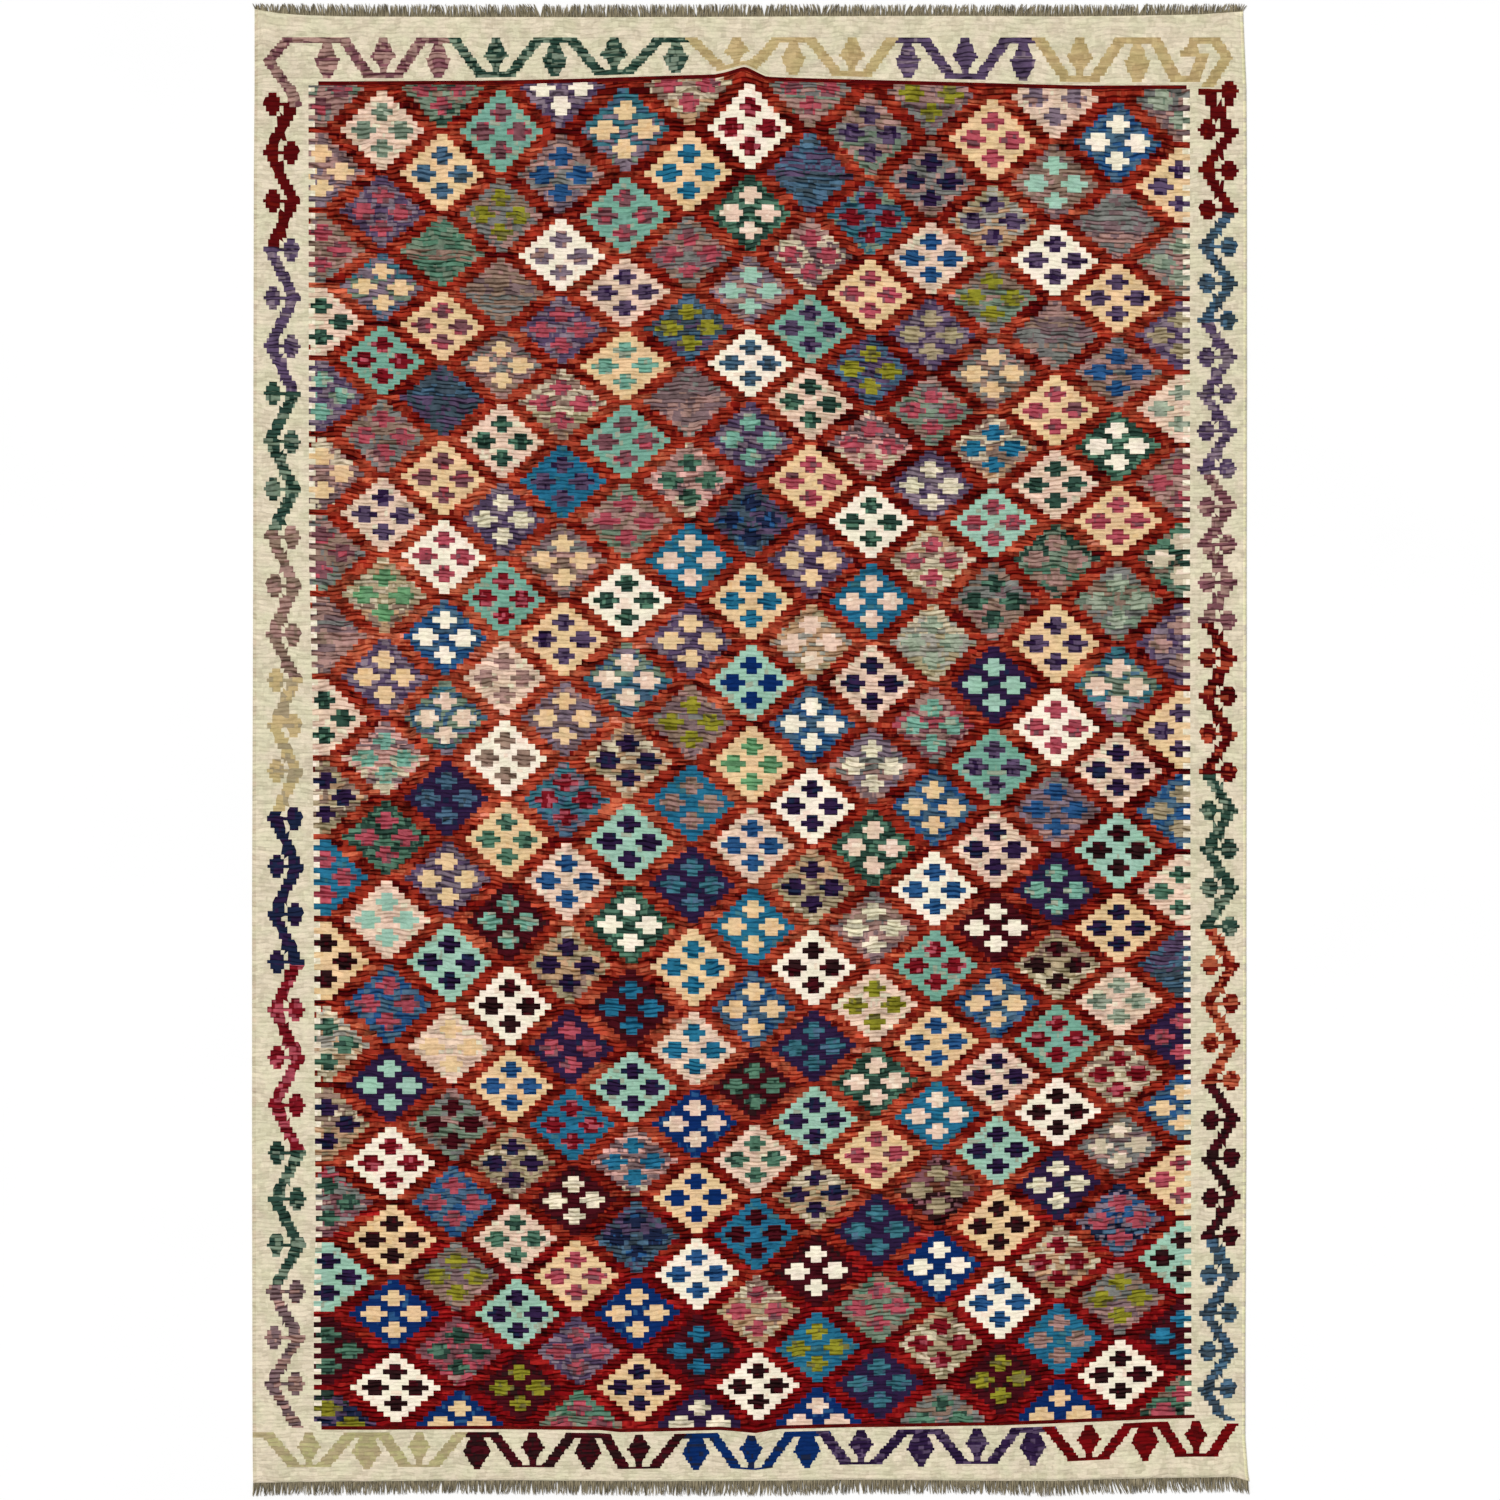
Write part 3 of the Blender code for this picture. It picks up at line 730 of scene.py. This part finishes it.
def layCloth(mesh):
    # moves the flat grid's points to where the rug's weave lies, and gives each face its yarns
    points = np.empty(len(mesh.vertices) * 3)
    mesh.vertices.foreach_get("co", points)
    points = points.reshape(-1, 3)
    column = np.round((points[:, 0] + 1) / 2 * columnCount)
    row = np.round((1 - points[:, 1]) / 2 * rowCount)
    turned = points[:, 2] < -0.5
    columnIndex, rowIndex = column.astype(int), row.astype(int)
    column += nudge["across"][rowIndex, columnIndex]
    row += nudge["down"][rowIndex, columnIndex]
    # across and up lean on each other, so they are worked out twice
    up = weave["fieldLength"] * (0.5 - row / rowCount)
    for again in range(2):
        across = acrossAt(column, up)
        up = upAt(row, across)

    # slits and steps sink a little where the yarn changes along a pick
    change = np.zeros((rowCount + 1, columnCount + 1))
    differs = chart[:, 1:, 0] != chart[:, :-1, 0]
    change[:-1, 1:-1] += differs
    change[1:, 1:-1] += differs
    sink = cloth["slitDepth"] * np.minimum(change[rowIndex, columnIndex], 1)
    side = np.minimum(columnIndex, columnCount - columnIndex)
    selvedge = np.where(side == 1, cloth["selvedgeRise"], np.where(side == 0, -cloth["edgeFall"], 0))
    ripple = cloth["ripple"] * (np.sin(across * 21 + up * 8) * np.sin(up * 17 - across * 5) + 1)
    high = lay["thickness"] + creaseRise(across, up) + ripple - sink + selvedge
    points[:, 0], points[:, 1] = across, up
    points[:, 2] = np.where(turned, cloth["floorGap"], high)
    mesh.vertices.foreach_set("co", points.ravel())

    corners = np.empty(len(mesh.loops), int)
    mesh.loops.foreach_get("vertex_index", corners)
    tier = np.where(row < topRow, (row - topRow) / 2, row - topRow)
    tier = np.where(row > footRow, weave["tiers"] + (row - footRow) / 2, tier)
    weaveMap = mesh.uv_layers.new(name="weave")
    places = np.column_stack((column[corners] / 2, -tier[corners] - turned[corners] * 0.3))
    weaveMap.data.foreach_set("uv", places.ravel())

    faceColumn = np.minimum(columnIndex[corners].reshape(-1, 4).min(1), columnCount - 1)
    faceRow = np.minimum(rowIndex[corners].reshape(-1, 4).min(1), rowCount - 1)
    dyes = np.array(list(yarns.values())) / 255
    dyes = np.where(dyes <= 0.04045, dyes / 12.92, ((dyes + 0.055) / 1.055) ** 2.4)
    faces = chart[faceRow, faceColumn]
    for name, yarn, extra in (("yarnOne", 0, 3), ("yarnTwo", 1, 2)):
        colours = np.column_stack((dyes[faces[:, yarn].astype(int)], faces[:, extra]))
        layer = mesh.attributes.new(name, "FLOAT_COLOR", "FACE")
        layer.data.foreach_set("color", colours.ravel())
    mesh.polygons.foreach_set("use_smooth", np.ones(len(mesh.polygons), bool))
    mesh.update()


# Shader helpers
def newNode(tree, kind, **settings):
    node = tree.nodes.new("ShaderNode" + kind)
    for name, value in settings.items():
        setattr(node, name, value)
    return node


def feed(tree, node, values):
    # other nodes are linked to the node's inputs; numbers and colours are set on them
    for name, value in values.items():
        if isinstance(value, bpy.types.NodeSocket):
            tree.links.new(value, node.inputs[name])
        else:
            node.inputs[name].default_value = value
    return node.outputs[0] if node.outputs else None


def maths(tree, operation, *values, clamp=False):
    node = newNode(tree, "Math", operation=operation, use_clamp=clamp)
    return feed(tree, node, dict(enumerate(values)))


def noiseAt(tree, place, scale, detail, dimensions="3D"):
    node = newNode(tree, "TexNoise", noise_dimensions=dimensions)
    return feed(tree, node, {"Vector": place, "Scale": scale, "Detail": detail})


def ramp(tree, value, low, high, toLow=0.0, toHigh=1.0):
    node = newNode(tree, "MapRange", interpolation_type="SMOOTHSTEP")
    return feed(tree, node, dict(enumerate((value, low, high, toLow, toHigh))))


def mixColours(tree, factor, first, second, blend="MIX"):
    node = newNode(tree, "Mix", data_type="RGBA", blend_type=blend)
    feed(tree, node, {"Factor": factor, 6: first, 7: second})
    return node.outputs[2]


def tinted(tree, colour, tone):
    # multiplies a colour by a number
    return feed(tree, newNode(tree, "VectorMath", operation="SCALE"), {0: colour, "Scale": tone})


def objectPlace(tree):
    return newNode(tree, "TexCoord").outputs["Object"]


# The hairy, slightly uneven face of handspun wool: a tone around 1 and a height
woolFuzz = bpy.data.node_groups.new("woolFuzz", "ShaderNodeTree")
for label, way, kind in (
    ("Place", "INPUT", "Vector"), ("Depth", "INPUT", "Float"), ("Hair Scale", "INPUT", "Float"),
    ("Tone", "OUTPUT", "Float"), ("Height", "OUTPUT", "Float"),
):
    woolFuzz.interface.new_socket(name=label, in_out=way, socket_type="NodeSocket" + kind)
given = woolFuzz.nodes.new("NodeGroupInput").outputs
hair = noiseAt(woolFuzz, given["Place"], given["Hair Scale"], 2.0)
patch = noiseAt(woolFuzz, given["Place"], 9.0, 3.0)
both = maths(woolFuzz, "SUBTRACT", maths(woolFuzz, "ADD", hair, patch), 1.0)
hairTone = maths(woolFuzz, "MULTIPLY_ADD", both, given["Depth"], 1.0)
feed(woolFuzz, woolFuzz.nodes.new("NodeGroupOutput"), {"Tone": hairTone, "Height": hair})


def fuzzAt(tree, depth, scale):
    node = newNode(tree, "Group", node_tree=woolFuzz)
    feed(tree, node, {"Place": objectPlace(tree), "Depth": depth, "Hair Scale": scale})
    return node.outputs["Tone"], node.outputs["Height"]


def newMaterial(name):
    material = bpy.data.materials.new(name)
    material.use_nodes = True
    tree = material.node_tree
    return material, tree, tree.nodes["Principled BSDF"]


def finishWool(tree, shader, colour, height, hair, look):
    bump = {"Strength": look["bumpStrength"], "Distance": look["bumpDepth"], "Height": height}
    feed(tree, shader, {
        "Base Color": colour,
        "Normal": feed(tree, newNode(tree, "Bump"), bump),
        "Roughness": ramp(tree, hair, 0.2, 0.8, *look["roughness"]),
        "Specular IOR Level": look["specular"],
    })


def wovenWool():
    material, tree, shader = newMaterial("wovenWool")
    parts = newNode(tree, "SeparateXYZ")
    feed(tree, parts, {0: newNode(tree, "UVMap", uv_map="weave").outputs[0]})
    along, tier = parts.outputs["X"], parts.outputs["Y"]
    yarnOne = newNode(tree, "Attribute", attribute_name="yarnOne")
    yarnTwo = newNode(tree, "Attribute", attribute_name="yarnTwo")
    streakiness, share = yarnOne.outputs["Alpha"], yarnTwo.outputs["Alpha"]

    def times(one, other, more=0.0, clamp=False):
        # one times other, and more on top
        return maths(tree, "MULTIPLY_ADD", one, other, more, clamp=clamp)

    def centred(value):
        return maths(tree, "SUBTRACT", value, 0.5)

    def noiseOver(x, y, detail=1.0):
        place = feed(tree, newNode(tree, "CombineXYZ"), {"X": x, "Y": y})
        return noiseAt(tree, place, 1.0, detail, "2D")

    def streaks(across, up):
        return noiseOver(times(along, across), times(tier, up))

    # bands of one shade wander up and down, and each one changes yarn at its own places
    wavy = times(streaks(*cloth["slowNoise"]), cloth["slowWander"], tier)
    wavy = times(streaks(*cloth["unevenNoise"]), cloth["unevenWander"], wavy)
    bands = times(wavy, cloth["bandTiers"])
    band = maths(tree, "FLOOR", bands)

    def perBand(stretch, shift):
        place = times(along, stretch, times(band, shift))
        return noiseOver(place, times(band, shift * 0.41), 2.0)

    second = maths(tree, "SUBTRACT", perBand(*cloth["yarnNoise"]), times(share, -0.42, 0.71))
    second = ramp(tree, second, -0.02, 0.02)
    colour = mixColours(tree, second, yarnOne.outputs["Color"], yarnTwo.outputs["Color"])

    # uneven dye along each band, and beads of lighter and darker wool
    picks = times(wavy, cloth["pickTiers"])
    beads = noiseOver(times(along, cloth["beadsPerUnit"]), times(picks, 0.5))
    beadTone = times(centred(beads), times(streakiness, cloth["beadSpun"], cloth["beadPlain"]))
    dyeDepth = times(streakiness, cloth["dyeDepth"])
    fuzzTone, fuzzHeight = fuzzAt(tree, 0.22, 420.0)
    tone = maths(tree, "ADD", times(centred(perBand(*cloth["dyeNoise"])), dyeDepth, beadTone), fuzzTone)
    colour = tinted(tree, colour, times(maths(tree, "MAXIMUM", tone, cloth["darkest"]), cloth["brightness"]))

    # deep gaps between the bands, broken here and there, darkened with painted shade
    fromMiddle = maths(tree, "ABSOLUTE", centred(maths(tree, "FRACT", bands)))
    broken = ramp(tree, perBand(*cloth["gapNoise"]), *cloth["gapBreaks"])
    gap = times(ramp(tree, fromMiddle, *cloth["gapEdge"]), broken)
    # painted shade: in the gaps the colour is deepened by a gamma and darkened, more so in streaky yarn
    gapShadeStrength = times(streakiness, cloth["gapShadeSpun"], cloth["gapShadePlain"], clamp=True)
    gapShadeColour = feed(tree, newNode(tree, "Gamma"), {"Color": colour, "Gamma": cloth["gapShadeGamma"]})
    colour = mixColours(tree, times(gap, gapShadeStrength), colour, tinted(tree, gapShadeColour, cloth["gapShadeTone"]))

    # aged unevenly, a little greener here and pinker there
    aged = ramp(tree, noiseAt(tree, objectPlace(tree), 20.0, 4.0), 0.35, 0.65)
    tint = mixColours(tree, aged, cloth["greener"], cloth["pinker"])
    colour = mixColours(tree, 1.0, colour, tint, "MULTIPLY")

    # wefts packed over the warps: rounded picks, beads that swap from pick to pick
    pickRound = maths(tree, "SINE", times(maths(tree, "FRACT", picks), math.pi))
    warps = times(along, cloth["warpsPerUnit"], times(maths(tree, "FLOOR", picks), 0.5))
    bead = maths(tree, "ABSOLUTE", maths(tree, "SINE", times(warps, math.pi)))
    height = times(gap, -0.8, times(bead, 0.5, times(pickRound, 0.5)))
    finishWool(tree, shader, colour, times(fuzzHeight, 0.4, height), fuzzHeight, cloth)
    return material


clothData = clothMesh()
layCloth(clothData)
kilimCloth = addPiece("kilimCloth", clothData, wovenWool())
print("cloth woven", len(clothData.polygons), "faces")


# The fringe: warp ends left loose, lengths in metres
fringe = dict(
    yarns=1150, radius=0.0013, tipShare=0.3, lean=0.003,
    leanAlong=0.004,  # how far the yarns lean out towards the rug's corners
    strayLean=0.0036, shorter=0.0042, restHeight=0.0015, restSpread=0.0012, rootLift=0.0016,
    groupSize=(3, 14), bendsAt=(0, 0.35, 0.7, 1),
    hiddenRoot=0.001,  # this much of each yarn lies in the cloth's end
    bumpDepth=0.0004, bumpStrength=0.5, darkWool=(0.1, 0.085, 0.055, 1.0),
    paleWool=(0.37, 0.315, 0.205, 1.0), roughness=(0.85, 0.97), specular=0.05,
    # across, tip
    topTips=((-1.0, 1.4985), (-0.6, 1.4965), (0.0, 1.497), (0.5, 1.4965), (1.0, 1.4975)),
    bottomTips=(
        (-1.0, -1.497), (-0.6, -1.4925), (-0.22, -1.4955), (0.02, -1.4975), (0.22, -1.493),
        (0.46, -1.493), (0.58, -1.498), (0.7, -1.493), (0.96, -1.489), (1.0, -1.494),
    ),
)


looseWarps, tree, shader = newMaterial("warpWool")
stretched = {"Vector": objectPlace(tree), "Scale": (420.0, 40.0, 40.0)}
strand = noiseAt(tree, feed(tree, newNode(tree, "Mapping"), stretched), 1.0, 2.0)
fuzzTone, fuzzHeight = fuzzAt(tree, 0.25, 900.0)
warpColour = mixColours(tree, ramp(tree, strand, 0.3, 0.7), fringe["darkWool"], fringe["paleWool"])
finishWool(tree, shader, tinted(tree, warpColour, fuzzTone), fuzzHeight, fuzzHeight, fringe)


def fringePiece(name, outward, material):
    # one four-sided yarn after another, as curve splines, then made a mesh
    curve = bpy.data.curves.new(name, "CURVE")
    curve.dimensions = "3D"
    curve.bevel_depth = fringe["radius"]
    curve.bevel_resolution = 0
    curve.use_fill_caps = True
    end = "top" if outward > 0 else "bottom"
    endTable, tips = lay[end + "End"], fringe[end + "Tips"]
    left, right = endTable[0][0], endTable[-1][0]
    group, groupLean = 0, 0.0
    for number in range(fringe["yarns"]):
        if group <= 0:
            group, groupLean = random.randint(*fringe["groupSize"]), random.gauss(0, fringe["lean"])
        group -= 1
        share = (number + 0.5 + random.uniform(-0.3, 0.3)) / fringe["yarns"]
        across = left + 0.001 + share * (right - left - 0.002)
        root = float(readTable(endTable, across)) - outward * fringe["hiddenRoot"]
        tip = float(readTable(tips, across)) - outward * abs(random.gauss(0, fringe["shorter"]))
        lean = groupLean + across * fringe["leanAlong"] + random.gauss(0, fringe["strayLean"])
        lean = min(max(lean, -0.999 - across), 0.999 - across)
        length = min(abs(tip - root), lay["length"] / 2 - 0.0006 - abs(root))
        spline = curve.splines.new("POLY")
        spline.points.add(3)
        height = fringe["restHeight"] + random.uniform(0, fringe["restSpread"])
        for point, step in zip(spline.points, fringe["bendsAt"]):
            sideways = lean * step ** 1.4 + random.gauss(0, 0.0003) * step
            lift = fringe["rootLift"] * (1 - step) + height * step
            point.co = (across + sideways, root + outward * length * step, lift, 1)
            point.radius = random.uniform(0.85, 1.15) * (1 - (1 - fringe["tipShare"]) * step ** 2)
    holder = addObject(name + "Curve", curve)
    bpy.context.view_layer.update()
    mesh = bpy.data.meshes.new_from_object(holder.evaluated_get(bpy.context.evaluated_depsgraph_get()))
    mesh.name = name
    mesh.materials.clear()
    bpy.data.objects.remove(holder)
    bpy.data.curves.remove(curve)
    return addPiece(name, mesh, material)


topFringe = fringePiece("topFringe", 1, looseWarps)
bottomFringe = fringePiece("bottomFringe", -1, looseWarps)
print("fringes laid", len(topFringe.data.polygons), len(bottomFringe.data.polygons), "faces")


# Floor, light and camera
studio = dict(
    floorSize=30.0, floorColour=(0.96, 0.96, 0.96), skyStrength=0.55, lampStrength=2.05,
    lampSpread=0.5,  # how wide the light looks from the rug, in radians
    lampPlace=(-3.0, 3.6, 5.5), cameraHeight=12.0, cameraAcross=-0.0015,
    viewWidth=3.008,  # what the picture takes in, at the rug
)

grid = bmesh.new()
bmesh.ops.create_grid(grid, x_segments=1, y_segments=1, size=studio["floorSize"] / 2)
floorMesh = bpy.data.meshes.new("floor")
grid.to_mesh(floorMesh)
grid.free()
palePaint, tree, shader = newMaterial("palePaint")
cloud = ramp(tree, noiseAt(tree, objectPlace(tree), 1.5, 3.0), 0.2, 0.8, 0.99, 1.01)
floorTone = tinted(tree, studio["floorColour"], cloud)
feed(tree, shader, {"Base Color": floorTone, "Roughness": 0.8, "Specular IOR Level": 0.1})
floor = addPiece("floor", floorMesh, palePaint)
sky = bpy.data.worlds.new("studioSky")
sky.use_nodes = True
light = {"Color": (1.0, 1.0, 1.0, 1.0), "Strength": studio["skyStrength"]}
feed(sky.node_tree, sky.node_tree.nodes["Background"], light)
bpy.context.scene.world = sky

lampData = bpy.data.lights.new("softLight", "SUN")
lampData.energy = studio["lampStrength"]
lampData.angle = studio["lampSpread"]
lamp = addObject("softLight", lampData)
lamp.location = studio["lampPlace"]
lamp.rotation_euler = lamp.location.to_track_quat("Z", "Y").to_euler()

cameraData = bpy.data.cameras.new("overhead")
cameraData.lens = cameraData.sensor_width * (studio["cameraHeight"] - lay["thickness"]) / studio["viewWidth"]
camera = addObject("overhead", cameraData)
camera.location = (studio["cameraAcross"], 0.0, studio["cameraHeight"])
bpy.context.scene.camera = camera
print("studio set")


# What each piece stands for
for piece, node, slotName in (
    (kilimCloth, "kilim_cloth", "woven_wool"),
    (topFringe, "fringe_top", "warp_wool"),
    (bottomFringe, "fringe_bottom", "warp_wool"),
):
    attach(piece, "root")
    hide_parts(node)
